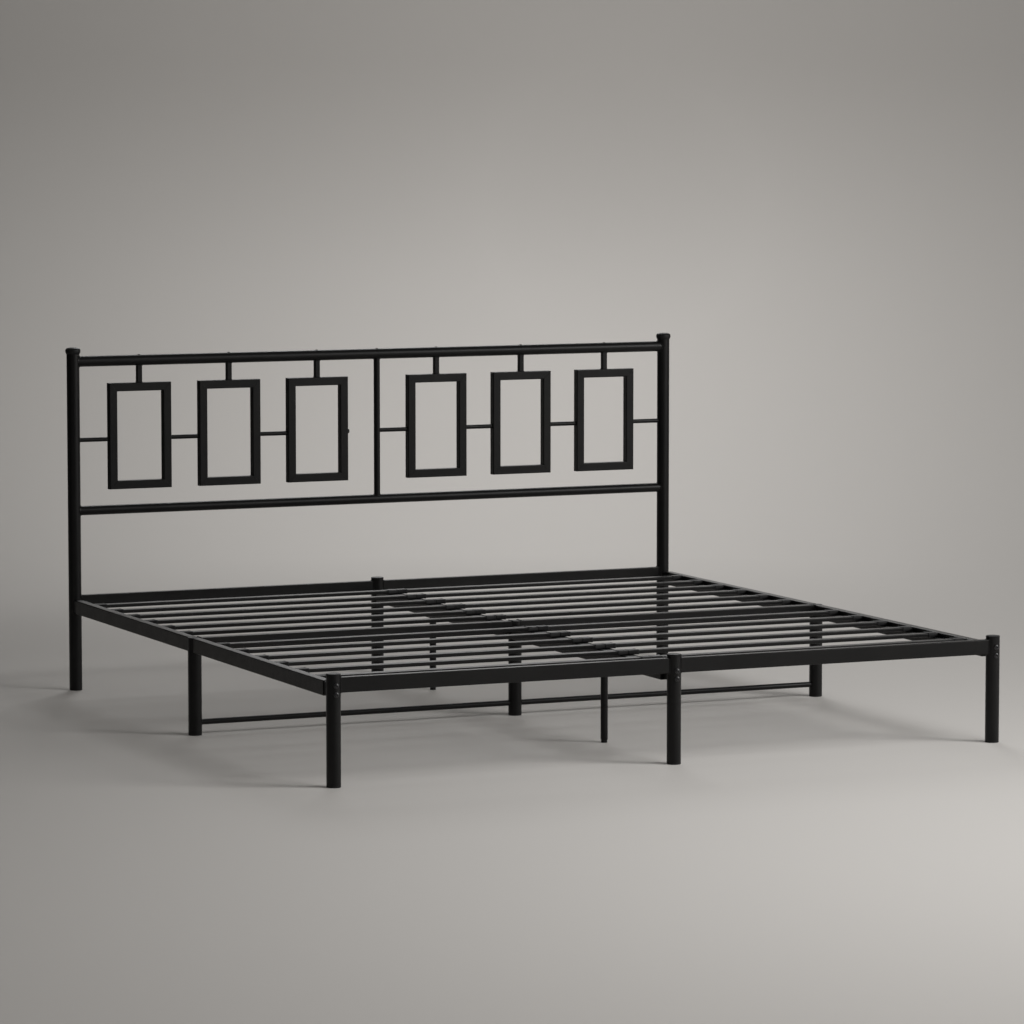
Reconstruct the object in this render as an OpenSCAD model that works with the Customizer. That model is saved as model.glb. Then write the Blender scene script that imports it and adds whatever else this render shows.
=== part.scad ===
// Knock-down metal bed frame: a welded headboard, a welded foot end and a welded
// middle trestle, joined by bolted side rails and a center beam that carry steel slats.
// Origin on the floor at the middle of the bed, +Y to the head, +Z up, millimetres.

/* [Overall] */
// Across the bed, between the axes of the left and right legs
bed_width = 1942; // [900:1:2100]
// Along the bed, between the axes of the foot legs and the head posts
bed_length = 2045; // [1700:1:2300]
// Floor to the top of the caps on the head posts
head_height = 1020; // [900:1:1400]
// Floor to the top of the caps on the legs at the foot
foot_height = 294; // [250:1:420]

/* [Round tubes] */
// Outside diameter of the head posts and of all the legs but the two thin ones
post_d = 38; // [32:1:50]
// Wall of every tube but the slats
tube_wall = 1.2; // [1:0.1:2]
// Outside diameter of the rail along the top of the headboard
top_rail_d = 32; // [25:1:36]
// Outside diameter of the lower headboard rail
lower_rail_d = 28; // [22:1:32]
// Outside diameter of the upright in the middle of the headboard
center_post_d = 19; // [16:1:25]
// Outside diameter of the short bars that link the headboard frames
link_d = 13; // [8:1:16]
// Outside diameter of the low stretchers between the middle legs
stretcher_d = 16; // [12:1:22]
// Outside diameter of the two thin legs under the center beam
support_leg_d = 20; // [18:1:32]

/* [Headboard] */
// Height of the middle of the top rail
top_rail_z = 978; // [930:1:985]
// Height of the middle of the lower rail
lower_rail_z = 535; // [420:1:560]
// Height of the middle of the link bars
link_z = 745; // [640:1:860]
// Number of rectangular frames on each side of the middle upright
frames_per_side = 3; // [1:1:4]
// Outside width of one rectangular frame
frame_w = 195; // [120:1:200]
// Outside height of one rectangular frame
frame_h = 316; // [200:1:330]
// Side of the square tube that the frames are made of
frame_tube = 25; // [16:1:30]
// Gap between the top rail and the top of the frames
hanger_gap = 50.5; // [30:0.5:80]
// Side of the square tube of the hangers
hanger_tube = 16; // [10:1:22]
// Stick-out of the short stub that faces the middle upright
stub_length = 6; // [3:1:12]

/* [Deck] */
// Height of the top of the slat caps and of the side rails
deck_height = 272; // [235:1:290]
// Height of the side rails' section
rail_h = 40; // [38:1:50]
// Width of the side rails' section
rail_w = 25; // [20:1:30]
// Width of the head and foot rails' section
end_rail_w = 20; // [16:1:30]
// Distance from the top of the foot legs down to the head and foot rails
end_rail_drop = 10; // [5:1:20]
// Width of the center beam
beam_w = 40; // [34:1:60]
// Height of the center beam
beam_h = 38; // [35:1:50]
// Width of the crossbars of the middle trestle
crossbar_w = 30; // [20:1:36]
// Height of the crossbars of the middle trestle
crossbar_h = 35; // [25:1:45]
// Height of the middle of the low stretchers
stretcher_z = 36; // [30:1:120]
// Share of the half length between the middle trestle and each thin leg
support_leg_share = 0.58; // [0.3:0.01:0.8]

/* [Slats] */
// Slats in each quarter of the deck
slats_per_quarter = 6; // [3:1:8]
// Width of a slat
slat_w = 30; // [20:1:50]
// Height of a slat
slat_h = 10; // [8:1:16]
// Wall of a slat
slat_wall = 0.9; // [0.8:0.1:1.5]
// Wall of the plastic cap on each slat end
cap_wall = 1.5; // [1:0.1:2.5]
// Depth of the pocket in a slat cap
cap_depth = 30; // [20:1:40]
// Diameter of the peg under a slat cap
peg_d = 7.6; // [5:0.1:8]
// Width of the ledge that the slats rest on
ledge_w = 22; // [18:1:30]
// Height of the ledge's upright flange
ledge_h = 20; // [12:1:22]
// Thickness of the ledge
ledge_t = 2.5; // [2:0.5:4]

/* [Hardware] */
// Shank diameter of the bolts through the legs
bolt_d = 8; // [6:1:8]
// Room between a nut and the inside of the rail that holds it
nut_room = 0.8; // [0.5:0.1:2]
// Shank diameter of the small screws
screw_d = 6; // [4:1:6]
// Length of the curved spacer between a leg and a rail end
saddle_length = 22; // [15:1:30]
// Width of that spacer
saddle_w = 20; // [16:1:20]
// Height of that spacer
saddle_h = 34; // [32:1:35]
// Thickness of the plate that closes a rail end
end_plate_t = 4; // [3:0.5:6]
// Length of the steel tongues on the middle legs
tongue_length = 60; // [50:1:80]
// Thickness of the steel tongues
tongue_t = 4; // [3:0.5:6]
// Height of the tongues
tongue_h = 26; // [20:1:28]

/* [Plastic ends] */
// Diameter of the mushroom caps on the head posts
post_cap_d = 45; // [40:1:56]
// Height of the mushroom caps
post_cap_h = 20; // [14:1:30]
// Thickness of the flange of the caps on the legs
leg_cap_t = 3; // [2:0.5:5]
// Thickness of the glides under the legs
glide_t = 4; // [3:0.5:8]
// Height of the foot under a thin leg
leveller_h = 8; // [6:1:14]
// Diameter of that foot
leveller_d = 18; // [15:1:30]
// Diameter of its threaded stem
leveller_stem_d = 10; // [8:1:10]
// Length of its stem
leveller_stem_length = 40; // [30:1:60]

/* [Fits] */
// Gap left at a weld or a press fit, on each side
weld_gap = 0.2; // [0.1:0.05:0.4]
// Clearance of a bolt in its hole, on each side
bolt_clearance = 0.25; // [0.1:0.05:0.5]
// Gap between pieces that slide or are pushed together
push_gap = 0.3; // [0.2:0.05:0.5]
// Gap between a rail end and the leg that it meets
butt_gap = 2; // [1:0.5:4]
// Radial clearance of the foot's stem in its thread
stem_clearance = 0.3; // [0.2:0.05:0.5]

/* [Hidden] */
$fn = 48;
half_w = bed_width / 2;
half_l = bed_length / 2;
post_r = post_d / 2;
seat_r = post_r + weld_gap;             // round seat cut in whatever meets a post

// Headboard
frame_top_z = top_rail_z - top_rail_d / 2 - hanger_gap;
frame_count = 2 * frames_per_side;
frame_gap = (half_w - post_r - center_post_d / 2 - frames_per_side * frame_w)
            / (frames_per_side + 1);
frame_first_x = center_post_d / 2 + frame_gap + frame_w / 2;
frame_step = frame_w + frame_gap;
post_top_z = head_height - post_cap_h;

// Deck heights
end_rail_top = foot_height - end_rail_drop;
end_rail_z = end_rail_top - rail_h / 2;
side_rail_z = deck_height - rail_h / 2;
cap_h = slat_h + 2 * (cap_wall + weld_gap);
support_z = deck_height - cap_h;        // top of the ledges and of the center beam
beam_z = support_z - beam_h / 2;
crossbar_z = deck_height - crossbar_h / 2;

// Places along the bed
rail_near_y = post_r + butt_gap;                     // rail end at the middle trestle
rail_far_y = half_l - post_r - saddle_length;        // rail end at the head or the foot
slat_pitch = half_l / (slats_per_quarter + 1);
support_leg_y = half_l * support_leg_share;
ledge_near_y = rail_near_y + tongue_length;
ledge_far_y = rail_far_y - end_plate_t;

// Places across the bed
rail_inner_x = half_w - rail_w / 2;
cap_w = slat_w + 2 * (cap_wall + weld_gap);
cap_length = cap_depth + cap_wall;
cap_outer_x = rail_inner_x - push_gap;
cap_inner_x = push_gap;
peg_outer_x = rail_inner_x - ledge_w / 2;
peg_inner_x = beam_w / 4;
peg_length = 8;

// Hardware
bolt_head_d = bolt_d * 1.75;
bolt_head_h = bolt_d * 0.55;
bolt_hole_r = bolt_d / 2 + bolt_clearance;
nut_flats = bolt_d * 1.625;
nut_h = bolt_d * 0.8;
bolt_length = post_d + saddle_length + end_plate_t + nut_h;
screw_head_d = screw_d * 1.75;
screw_head_h = screw_d * 0.55;
screw_hole_r = screw_d / 2 + bolt_clearance;
tongue_screws_y = [rail_near_y + 14, rail_near_y + tongue_length - 18];
side_screw_length = rail_w / 2 + tongue_t;
beam_screw_length = beam_h / 2 + tongue_t;
corner_r = 2.5;
insert_depth = 12;
flange_plate = [34, 62, 3];
flange_screw_pitch = 44;
flange_screw_length = 10;
leveller_plug_h = 20;

// Where a rail or the beam ends at a leg: [x, end along Y, middle height, width, height]
rail_ends = [for (x = [-half_w, half_w], s = [-1, 1]) [x, s, side_rail_z, rail_w, rail_h]];
beam_ends = [for (s = [-1, 1]) [0, s, beam_z, beam_w, beam_h]];
all_ends = concat(rail_ends, beam_ends);

// ---------- shapes that repeat ----------

// A rectangle with true round corners
module round_rect(w, h, r) {
    square([w - 2 * r, h], center = true);
    square([w, h - 2 * r], center = true);
    for (x = [-1, 1], y = [-1, 1]) translate([x * (w / 2 - r), y * (h / 2 - r)]) circle(r);
}

// Wall of a box tube, as a flat shape
module box_section(w, h, wall) {
    difference() {
        round_rect(w, h, corner_r);
        round_rect(w - 2 * wall, h - 2 * wall, corner_r - wall);
    }
}

// Round tube standing on z = 0
module round_tube(d, length, wall = tube_wall) {
    difference() {
        cylinder(d = d, h = length);
        translate([0, 0, -1]) cylinder(d = d - 2 * wall, h = length + 2);
    }
}

// Turns what stands along Z so that it runs along +X or +Y
module along_x() { rotate([90, 0, 90]) children(); }
module along_y() { rotate([-90, 0, 0]) children(); }

// Box tube from x0 to x1, w across in Y and h high, its middle at height z
module box_tube_x(x0, x1, w, h, z, wall = tube_wall) {
    translate([x0, 0, z]) along_x() linear_extrude(x1 - x0) box_section(w, h, wall);
}

// Box tube from y0 to y1, w across in X and h high, its middle at height z
module box_tube_y(y0, y1, w, h, z, wall = tube_wall) {
    translate([0, y0, z]) along_y() linear_extrude(y1 - y0) box_section(w, h, wall);
}

// Cuts the round seats of the posts at x0 and x1 from a piece that runs in X
module seated_between(x0, x1, r0 = seat_r, r1 = seat_r) {
    difference() {
        children();
        translate([x0, 0, -1]) cylinder(r = r0, h = head_height + 2);
        translate([x1, 0, -1]) cylinder(r = r1, h = head_height + 2);
    }
}

// Round tube between the posts at x0 and x1, its middle at height z
module round_rail(x0, x1, d, z) {
    translate([x0, 0, z]) along_x() round_tube(d, x1 - x0);
}

// Distance between the two bolts of a rail end, as wide as its nuts allow
function bolt_pitch(section_h) = section_h - 2 * (tube_wall + nut_room) - nut_flats;

// The two bolt holes of a rail end, drilled along Y through a leg
module leg_bolt_holes(z, section_h) {
    for (s = [-1, 1]) translate([0, -post_r - 1, z + s * bolt_pitch(section_h) / 2])
        along_y() cylinder(r = bolt_hole_r, h = post_d + 2);
}

// Leg tube from the glide up to its cap
module leg(top_z) { translate([0, 0, glide_t]) round_tube(post_d, top_z - glide_t); }

// ---------- headboard ----------

// Post: full-height tube with two bolt holes for the side rail
module head_post(side) {
    color("#1c1c1d") translate([side * half_w, half_l, 0]) difference() {
        leg(post_top_z);
        leg_bolt_holes(side_rail_z, rail_h);
    }
}

// Mushroom cap: a round head on a plug that is pushed into the post
module post_cap(side) {
    edge = 4;
    head_r = post_cap_d / 2;
    plug_r = post_r - tube_wall - weld_gap;
    color("#161617") translate([side * half_w, half_l, post_top_z]) rotate_extrude() {
        translate([0, -insert_depth]) square([plug_r, insert_depth]);
        square([head_r - edge / 2, post_cap_h]);
        translate([0, edge / 2]) square([head_r, post_cap_h - edge / 2 - edge]);
        translate([head_r - edge / 2, edge / 2]) circle(edge / 2);
        intersection() {
            translate([head_r - edge, post_cap_h - edge]) circle(edge);
            square([head_r, post_cap_h]);
        }
    }
}

// Top rail: one tube from post to post
module top_rail() {
    color("#1c1c1d") translate([0, half_l, 0]) seated_between(-half_w, half_w)
        round_rail(-half_w, half_w, top_rail_d, top_rail_z);
}

// Lower rail: one tube from post to post
module lower_rail() {
    color("#1c1c1d") translate([0, half_l, 0]) seated_between(-half_w, half_w)
        round_rail(-half_w, half_w, lower_rail_d, lower_rail_z);
}

// Middle upright, seated on both rails
module center_post() {
    color("#1c1c1d") translate([0, half_l, 0]) difference() {
        translate([0, 0, lower_rail_z]) round_tube(center_post_d, top_rail_z - lower_rail_z);
        for (rail = [[top_rail_z, top_rail_d], [lower_rail_z, lower_rail_d]])
            translate([-center_post_d, 0, rail[0]]) along_x()
                cylinder(d = rail[1] + 2 * weld_gap, h = 2 * center_post_d);
    }
}

// Middle of frame i, counted from the left post
function frame_x(i) =
    i <= frames_per_side ? -frame_first_x - (frames_per_side - i) * frame_step
                         : frame_first_x + (i - frames_per_side - 1) * frame_step;

// One side of a frame: a square tube along X with both ends mitred towards -Z
module mitred_bar(length) {
    intersection() {
        box_tube_x(-length / 2, length / 2, frame_tube, frame_tube, -frame_tube / 2);
        translate([0, frame_tube, 0]) rotate([90, 0, 0]) linear_extrude(2 * frame_tube)
            polygon([[-length / 2 + weld_gap, 0], [length / 2 - weld_gap, 0],
                     [length / 2 - frame_tube - weld_gap, -frame_tube],
                     [-length / 2 + frame_tube + weld_gap, -frame_tube]]);
    }
}

// Rectangular frame: four mitred square tubes
module headboard_frame(i) {
    middle_z = frame_top_z - frame_h / 2;
    color("#1c1c1d") translate([frame_x(i), half_l, middle_z]) {
        for (turn = [0, 180]) rotate([0, turn, 0])
            translate([0, 0, frame_h / 2]) mitred_bar(frame_w);
        for (turn = [90, 270]) rotate([0, turn, 0])
            translate([0, 0, frame_w / 2]) mitred_bar(frame_h);
    }
}

// Hangers: a short square tube from the top rail down to each frame
module frame_hangers() {
    color("#1c1c1d") for (i = [1:frame_count]) translate([frame_x(i), half_l, 0]) difference() {
        translate([0, 0, frame_top_z]) linear_extrude(top_rail_z - frame_top_z)
            box_section(hanger_tube, hanger_tube, tube_wall);
        translate([-hanger_tube, 0, top_rail_z]) along_x()
            cylinder(d = top_rail_d + 2 * weld_gap, h = 2 * hanger_tube);
    }
}

// Link bars from the posts to the frames and from frame to frame. The frame left of the
// middle upright ends in a short stub, and no bar joins the two.
module link_bars() {
    last_left = frames_per_side;
    first_right = frames_per_side + 1;
    color("#1c1c1d") translate([0, half_l, 0]) {
        seated_between(-half_w, half_w)
            for (side = [-1, 1]) {
                near = frame_x(side < 0 ? 1 : frame_count) + side * frame_w / 2;
                round_rail(min(near, side * half_w), max(near, side * half_w), link_d, link_z);
            }
        for (i = [1:frame_count - 1]) if (i != last_left)
            round_rail(frame_x(i) + frame_w / 2, frame_x(i + 1) - frame_w / 2, link_d, link_z);
        seated_between(0, half_w, center_post_d / 2 + weld_gap)
            round_rail(0, frame_x(first_right) - frame_w / 2, link_d, link_z);
        round_rail(frame_x(last_left) + frame_w / 2,
                   frame_x(last_left) + frame_w / 2 + stub_length, link_d, link_z);
    }
}

// ---------- head and foot rails and their legs ----------

// Half of a head or foot rail, welded between the corner leg and the middle leg
module end_rail(side, y) {
    x0 = side < 0 ? -half_w : 0;
    x1 = side < 0 ? 0 : half_w;
    color("#1c1c1d") translate([0, y, 0]) seated_between(x0, x1)
        box_tube_x(x0, x1, end_rail_w, rail_h, end_rail_z);
}

// Leg of the foot end, or middle leg of the head end, with two bolt holes
module end_leg(x, y) {
    color("#1c1c1d") translate([x, y, 0]) difference() {
        leg(foot_height - leg_cap_t);
        if (x == 0) leg_bolt_holes(beam_z, beam_h);
        else leg_bolt_holes(side_rail_z, rail_h);
    }
}

// Flat plastic cap pushed into the top of a leg at height z
module leg_cap(x, y, z) {
    edge = leg_cap_t / 2;
    plug_r = post_r - tube_wall - weld_gap;
    color("#161617") translate([x, y, z]) rotate_extrude() {
        translate([0, -insert_depth]) square([plug_r, insert_depth]);
        square([post_r - edge, leg_cap_t]);
        square([post_r, leg_cap_t - edge]);
        translate([post_r - edge, leg_cap_t - edge]) circle(edge);
    }
}

// Caps of the legs that end at the deck, and of the middle leg at the head
module deck_leg_caps() {
    for (x = [-half_w, 0, half_w]) leg_cap(x, 0, deck_height - leg_cap_t);
    leg_cap(0, half_l, foot_height - leg_cap_t);
}

// Glides pushed into the lower ends of the posts and legs
module leg_glides() {
    edge = glide_t / 2;
    plug_r = post_r - tube_wall - weld_gap;
    color("#161617") for (x = [-half_w, 0, half_w], y = [-half_l, 0, half_l])
        translate([x, y, 0]) rotate_extrude() {
            square([plug_r, glide_t + insert_depth]);
            square([post_r - edge, glide_t]);
            translate([0, edge]) square([post_r, glide_t - edge]);
            translate([post_r - edge, edge]) circle(edge);
        }
}

// ---------- side rails, center beam and their ends ----------

// Half of a side rail: open at the trestle, where screws from inside hold it to a tongue
module side_rail(side, end) {
    y0 = end > 0 ? rail_near_y : -rail_far_y;
    y1 = end > 0 ? rail_far_y : -rail_near_y;
    color("#1c1c1d") translate([side * half_w, 0, 0]) difference() {
        box_tube_y(y0, y1, rail_w, rail_h, side_rail_z);
        for (y = tongue_screws_y) translate([-side * rail_w / 2, end * y, side_rail_z])
            along_x() translate([0, 0, -rail_w / 4]) cylinder(r = screw_hole_r, h = rail_w / 2);
    }
}

// Slat ledges: angles welded to the inner face of a side rail, drilled for the slat pegs
module slat_ledges(side) {
    length = ledge_far_y - ledge_near_y;
    color("#1c1c1d") for (end = [-1, 1]) difference() {
        translate([side * rail_inner_x, end * ledge_near_y, 0]) mirror([side > 0 ? 1 : 0, 0, 0])
            mirror([0, end > 0 ? 0 : 1, 0]) {
                translate([0, 0, support_z - ledge_t]) cube([ledge_w, length, ledge_t]);
                translate([0, 0, support_z - ledge_h]) cube([ledge_t, length, ledge_h]);
            }
        for (k = [1:slats_per_quarter])
            translate([side * peg_outer_x, end * k * slat_pitch, support_z - ledge_h])
                cylinder(r = peg_d / 2 + weld_gap, h = ledge_h + 1);
    }
}

// Half of the center beam, drilled on top for the slat pegs and below for its screws
module center_beam(end) {
    y0 = end > 0 ? rail_near_y : -rail_far_y;
    y1 = end > 0 ? rail_far_y : -rail_near_y;
    color("#1c1c1d") difference() {
        box_tube_y(y0, y1, beam_w, beam_h, beam_z);
        for (k = [1:slats_per_quarter], side = [-1, 1])
            translate([side * peg_inner_x, end * k * slat_pitch, support_z - beam_h / 2])
                cylinder(r = peg_d / 2 + weld_gap, h = beam_h);
        for (y = tongue_screws_y) translate([0, end * y, support_z - beam_h - 1])
            cylinder(r = screw_hole_r, h = beam_h / 2);
        for (s = [-1, 1])
            translate([0, end * support_leg_y + s * flange_screw_pitch / 2, support_z - beam_h - 1])
                cylinder(r = screw_hole_r, h = beam_h / 2);
    }
}

// Tongues welded to the middle legs: upright ones inside the side rails, flat ones
// inside the center beam, each with two threaded holes
module rail_tongues() {
    color("#1c1c1d") for (end = [-1, 1]) {
        for (x = [-half_w, half_w]) difference() {
            translate([x - tongue_t / 2, min(0, end * (post_r + tongue_length)),
                       side_rail_z - tongue_h / 2])
                cube([tongue_t, post_r + tongue_length, tongue_h]);
            translate([x, 0, 0]) cylinder(r = seat_r, h = deck_height);
            for (y = tongue_screws_y) translate([x - tongue_t, end * y, side_rail_z])
                along_x() cylinder(r = screw_d / 2 + weld_gap, h = 2 * tongue_t);
        }
        difference() {
            translate([-tongue_h / 2, min(0, end * (post_r + tongue_length)),
                       beam_z - tongue_t / 2])
                cube([tongue_h, post_r + tongue_length, tongue_t]);
            cylinder(r = seat_r, h = deck_height);
            translate([0, 0, beam_z])
                cube([2 * tongue_h, crossbar_w + 2 * weld_gap, 2 * tongue_t], center = true);
            for (y = tongue_screws_y) translate([0, end * y, beam_z - tongue_t])
                cylinder(r = screw_d / 2 + weld_gap, h = 2 * tongue_t);
        }
    }
}

// Button-head screw of shank diameter d, its head at z = 0 and its shank upwards,
// with a six-sided socket in the head
module button_screw(d, head_d, head_h, length) {
    difference() {
        union() {
            intersection() {
                translate([0, 0, -head_h]) cylinder(d = head_d, h = head_h);
                translate([0, 0, head_d - head_h]) sphere(r = head_d);
            }
            cylinder(d = d, h = length);
        }
        translate([0, 0, -head_h - 1]) cylinder(d = d * 0.7, h = 1 + head_h * 0.6, $fn = 6);
    }
}

// Screws that hold the side rails and the beam to the tongues
module tongue_screws() {
    color("#2c2c2d") for (end = [-1, 1], y = tongue_screws_y) {
        for (side = [-1, 1]) translate([side * rail_inner_x, end * y, side_rail_z])
            rotate([0, side * 90, 0])
                button_screw(screw_d, screw_head_d, screw_head_h, side_screw_length);
        translate([0, end * y, support_z - beam_h])
            button_screw(screw_d, screw_head_d, screw_head_h, beam_screw_length);
    }
}

// Spacer between a leg and a rail end: one face hollowed to the leg, two bolt holes
module rail_saddles() {
    color("#161617") for (e = all_ends) translate([e[0], e[1] * half_l, e[2]])
        rotate([0, 0, e[1] > 0 ? 180 : 0]) difference() {
            translate([-saddle_w / 2, 0, -saddle_h / 2])
                cube([saddle_w, post_r + saddle_length, saddle_h]);
            translate([0, 0, -saddle_h]) cylinder(r = seat_r, h = 2 * saddle_h);
            for (s = [-1, 1]) translate([0, 0, s * bolt_pitch(e[4]) / 2])
                along_y() cylinder(r = bolt_hole_r, h = post_d + saddle_length);
        }
}

// Plate welded in the end of each rail, with a hole for each bolt
module rail_end_plates() {
    inset = tube_wall + weld_gap;
    color("#1c1c1d") for (e = all_ends) translate([e[0], e[1] * half_l, e[2]])
        rotate([0, 0, e[1] > 0 ? 180 : 0]) translate([0, post_r + saddle_length, 0])
            along_y() difference() {
                linear_extrude(end_plate_t)
                    round_rect(e[3] - 2 * inset, e[4] - 2 * inset, corner_r - inset);
                for (s = [-1, 1]) translate([0, s * bolt_pitch(e[4]) / 2, -1])
                    cylinder(r = bolt_hole_r, h = end_plate_t + 2);
            }
}

// Bolts through the legs into the rail ends
module leg_bolts() {
    color("#2c2c2d") for (e = all_ends, s = [-1, 1])
        translate([e[0], e[1] * half_l, e[2] + s * bolt_pitch(e[4]) / 2])
            rotate([0, 0, e[1] > 0 ? 180 : 0]) translate([0, -post_r, 0])
                along_y() button_screw(bolt_d, bolt_head_d, bolt_head_h, bolt_length);
}

// Nuts welded behind the end plates
module leg_nuts() {
    color("#6d6d70") for (e = all_ends, s = [-1, 1])
        translate([e[0], e[1] * half_l, e[2] + s * bolt_pitch(e[4]) / 2])
            rotate([0, 0, e[1] > 0 ? 180 : 0])
                translate([0, post_r + saddle_length + end_plate_t, 0])
                    along_y() difference() {
                        cylinder(d = nut_flats / cos(30), h = nut_h, $fn = 6);
                        translate([0, 0, -1]) cylinder(r = bolt_d / 2 + weld_gap, h = nut_h + 2);
                    }
}

// ---------- middle trestle ----------

// Leg of the trestle, its cap level with the deck
module mid_leg(x) { color("#1c1c1d") translate([x, 0, 0]) leg(deck_height - leg_cap_t); }

// Crossbar welded between a side leg and the middle leg
module mid_crossbar(side) {
    x0 = side < 0 ? -half_w : 0;
    x1 = side < 0 ? 0 : half_w;
    color("#1c1c1d") seated_between(x0, x1)
        box_tube_x(x0, x1, crossbar_w, crossbar_h, crossbar_z);
}

// Low round stretcher welded between a side leg and the middle leg
module stretcher(side) {
    x0 = side < 0 ? -half_w : 0;
    x1 = side < 0 ? 0 : half_w;
    color("#1c1c1d") seated_between(x0, x1) round_rail(x0, x1, stretcher_d, stretcher_z);
}

// ---------- thin legs under the center beam ----------

// Thin leg: a tube welded to a flange plate that is screwed to the beam
module support_leg(end) {
    top_z = support_z - beam_h;
    bottom_z = leveller_h + push_gap;
    color("#1c1c1d") translate([0, end * support_leg_y, 0]) difference() {
        union() {
            translate([0, 0, bottom_z])
                cylinder(d = support_leg_d, h = top_z - flange_plate[2] - bottom_z);
            translate([-flange_plate[0] / 2, -flange_plate[1] / 2, top_z - flange_plate[2]])
                cube(flange_plate);
        }
        translate([0, 0, bottom_z - 1])
            cylinder(d = support_leg_d - 2 * tube_wall, h = top_z - flange_plate[2] - bottom_z + 1);
        for (s = [-1, 1]) translate([0, s * flange_screw_pitch / 2, top_z - 2 * flange_plate[2]])
            cylinder(r = screw_hole_r, h = 3 * flange_plate[2]);
    }
}

// Screws up through the flange plates into the beam
module support_leg_screws() {
    head_z = support_z - beam_h - flange_plate[2];
    color("#2c2c2d") for (end = [-1, 1], s = [-1, 1])
        translate([0, end * support_leg_y + s * flange_screw_pitch / 2, head_z])
            button_screw(screw_d, screw_head_d, screw_head_h, flange_screw_length);
}

// Threaded plug pressed into the lower end of a thin leg
module leveller_plugs() {
    color("#6d6d70") for (end = [-1, 1])
        translate([0, end * support_leg_y, leveller_h + push_gap]) difference() {
            cylinder(d = support_leg_d - 2 * (tube_wall + weld_gap), h = leveller_plug_h);
            translate([0, 0, -1])
                cylinder(r = leveller_stem_d / 2 + stem_clearance, h = leveller_plug_h + 2);
        }
}

// Screw-in foot: a plastic pad on a threaded stem
module leveller(end) {
    edge = 2;
    color("#161617") translate([0, end * support_leg_y, 0]) rotate_extrude() {
        square([leveller_d / 2 - edge, leveller_h]);
        translate([0, edge]) square([leveller_d / 2, leveller_h - edge]);
        translate([leveller_d / 2 - edge, edge]) circle(edge);
        square([leveller_stem_d / 2, leveller_h + leveller_stem_length]);
    }
}

// ---------- slats ----------

// Slats of one side: flat box tubes from the side rail's ledge to the center beam
module slats(side) {
    x0 = cap_inner_x + cap_wall + weld_gap;
    x1 = cap_outer_x - cap_wall - weld_gap;
    z = support_z + cap_h / 2;
    color("#1c1c1d") for (end = [-1, 1], k = [1:slats_per_quarter])
        translate([0, end * k * slat_pitch, 0]) mirror([side < 0 ? 1 : 0, 0, 0])
            box_tube_x(x0, x1, slat_w, slat_h, z, slat_wall);
}

// Cap on a slat end: open towards +X, its closed end at x = 0, a peg below it
module slat_cap(peg_x) {
    pocket = [slat_w + 2 * weld_gap, slat_h + 2 * weld_gap];
    difference() {
        translate([0, 0, cap_h / 2]) along_x() linear_extrude(cap_length)
            round_rect(cap_w, cap_h, corner_r + cap_wall);
        translate([cap_wall, 0, cap_h / 2]) along_x() linear_extrude(cap_length)
            round_rect(pocket[0], pocket[1], corner_r);
    }
    translate([peg_x, 0, -peg_length]) cylinder(d = peg_d, h = peg_length + cap_wall / 2);
}

// Caps of one side, two on each slat
module slat_caps(side) {
    color("#161617") for (end = [-1, 1], k = [1:slats_per_quarter])
        translate([0, end * k * slat_pitch, support_z]) mirror([side < 0 ? 1 : 0, 0, 0]) {
            translate([cap_inner_x, 0, 0]) slat_cap(peg_inner_x - cap_inner_x);
            translate([cap_outer_x, 0, 0]) mirror([1, 0, 0]) slat_cap(cap_outer_x - peg_outer_x);
        }
}

// ---------- the bed ----------

head_post(-1);  // head_post_left
head_post(1);  // head_post_right
post_cap(-1);  // post_cap_left
post_cap(1);  // post_cap_right
top_rail();
lower_rail();
center_post();
for (i = [1:frame_count])
    headboard_frame(i);
frame_hangers();
link_bars();
end_rail(-1, half_l);  // head_rail_left
end_rail(1, half_l);  // head_rail_right
end_leg(0, half_l);  // head_leg_center
end_leg(-half_w, -half_l);  // foot_leg_left
end_leg(0, -half_l);  // foot_leg_center
end_leg(half_w, -half_l);  // foot_leg_right
end_rail(-1, -half_l);  // foot_rail_left
end_rail(1, -half_l);  // foot_rail_right
leg_cap(-half_w, -half_l, foot_height - leg_cap_t);  // foot_cap_left
leg_cap(0, -half_l, foot_height - leg_cap_t);  // foot_cap_center
leg_cap(half_w, -half_l, foot_height - leg_cap_t);  // foot_cap_right
deck_leg_caps();
side_rail(-1, 1);  // side_rail_left_head
side_rail(-1, -1);  // side_rail_left_foot
side_rail(1, 1);  // side_rail_right_head
side_rail(1, -1);  // side_rail_right_foot
slat_ledges(-1);  // slat_ledges_left
slat_ledges(1);  // slat_ledges_right
center_beam(1);  // center_beam_head
center_beam(-1);  // center_beam_foot
mid_leg(-half_w);  // mid_leg_left
mid_leg(0);  // mid_leg_center
mid_leg(half_w);  // mid_leg_right
mid_crossbar(-1);  // mid_crossbar_left
mid_crossbar(1);  // mid_crossbar_right
stretcher(-1);  // stretcher_left
stretcher(1);  // stretcher_right
rail_tongues();
rail_saddles();
rail_end_plates();
leg_bolts();
leg_nuts();
tongue_screws();
support_leg(-1);  // support_leg_foot
support_leg(1);  // support_leg_head
support_leg_screws();
leveller_plugs();
leveller(-1);  // leveller_foot_end
leveller(1);  // leveller_head_end
leg_glides();
slats(-1);  // slats_left
slats(1);  // slats_right
slat_caps(-1);  // slat_caps_left
slat_caps(1);  // slat_caps_right
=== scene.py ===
import bmesh
import bpy
import math
from mathutils import Matrix, Vector, noise


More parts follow.
